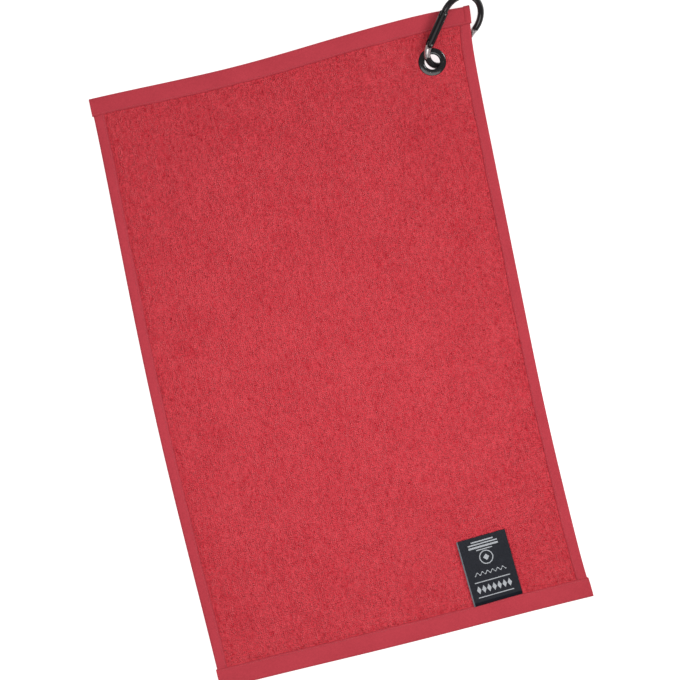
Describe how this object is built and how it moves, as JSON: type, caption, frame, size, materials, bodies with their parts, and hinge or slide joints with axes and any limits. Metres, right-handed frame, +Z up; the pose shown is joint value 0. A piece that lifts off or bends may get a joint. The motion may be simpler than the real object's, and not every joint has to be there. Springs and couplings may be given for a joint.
{
  "type": "golf towel",
  "caption": "Bound terry towel with a pressed eyelet in one corner, a black spring-gate clip through the eyelet and a woven label sewn in at the opposite end.",
  "frame": {"origin": "centre of the cloth's underside, on the surface the towel lies on", "axes": "+X across the towel, +Y along it towards the eyelet end, +Z up out of the face that carries the label"},
  "size_m": [0.3322, 0.4933, 0.0288],
  "materials": {
    "terry": "looped cotton pile",
    "binding": "flat plain-woven tape",
    "thread": "sewing thread",
    "eyelet": "gloss black",
    "clip": "gloss black, rubbed through to bare metal in places",
    "steel": "plain",
    "label": "satin weave"
  },
  "bodies": {
    "lower_half": {"terry_cloth_lower": "terry", "left_binding_lower": "binding", "right_binding_lower": "binding", "bottom_binding": "binding", "left_seam_thread_lower": "thread", "right_seam_thread_lower": "thread", "bottom_seam_thread": "thread"},
    "upper_half": {"terry_cloth_upper": "terry", "left_binding_upper": "binding", "right_binding_upper": "binding", "top_binding": "binding", "left_seam_thread_upper": "thread", "right_seam_thread_upper": "thread", "top_seam_thread": "thread", "eyelet": "eyelet", "eyelet_washer": "eyelet"},
    "clip": {"clip_body": "clip", "gate_hinge_pin": "steel"},
    "gate": {"clip_gate": "clip", "gate_latch_pin": "steel", "gate_spring": "steel"},
    "plunger": {"spring_plunger": "steel"},
    "label": {"woven_label": "label"}
  },
  "joints": [
    {"name": "towel_fold", "type": "hinge", "parent": "lower_half", "child": "upper_half", "pos_m": [0, 0.002, 0.0065], "axis": [0.9998, 0.0175, 0], "range_deg": [0, 165]},
    {"name": "clip_swing", "type": "hinge", "parent": "upper_half", "child": "clip", "pos_m": [0.12492, 0.20372, 0.01113], "axis": [0, 0, 1], "range_deg": [-75, 95]},
    {"name": "gate_open", "type": "hinge", "parent": "clip", "child": "gate", "pos_m": [0.12585, 0.21709, 0.01963], "axis": [-0.3972, 0.5119, -0.7617], "range_deg": [0, 30], "stiffness_Nm_per_rad": 0.05, "springref_deg": -22.92},
    {"name": "plunger_slide", "type": "slide", "parent": "gate", "child": "plunger", "axis": [0.5973, 0.7743, 0.2089], "range_m": [0, 0.00096], "deforming": ["gate_spring"]},
    {"name": "label_flip", "type": "hinge", "parent": "lower_half", "child": "label", "pos_m": [0.07809, -0.22277, 0.00385], "axis": [0.999, 0.0436, 0], "range_deg": [0, 180]}
  ],
  "couplings": [
    {"joint": "plunger_slide", "follows": "gate_open", "m_per_rad": 0.001809}
  ]
}
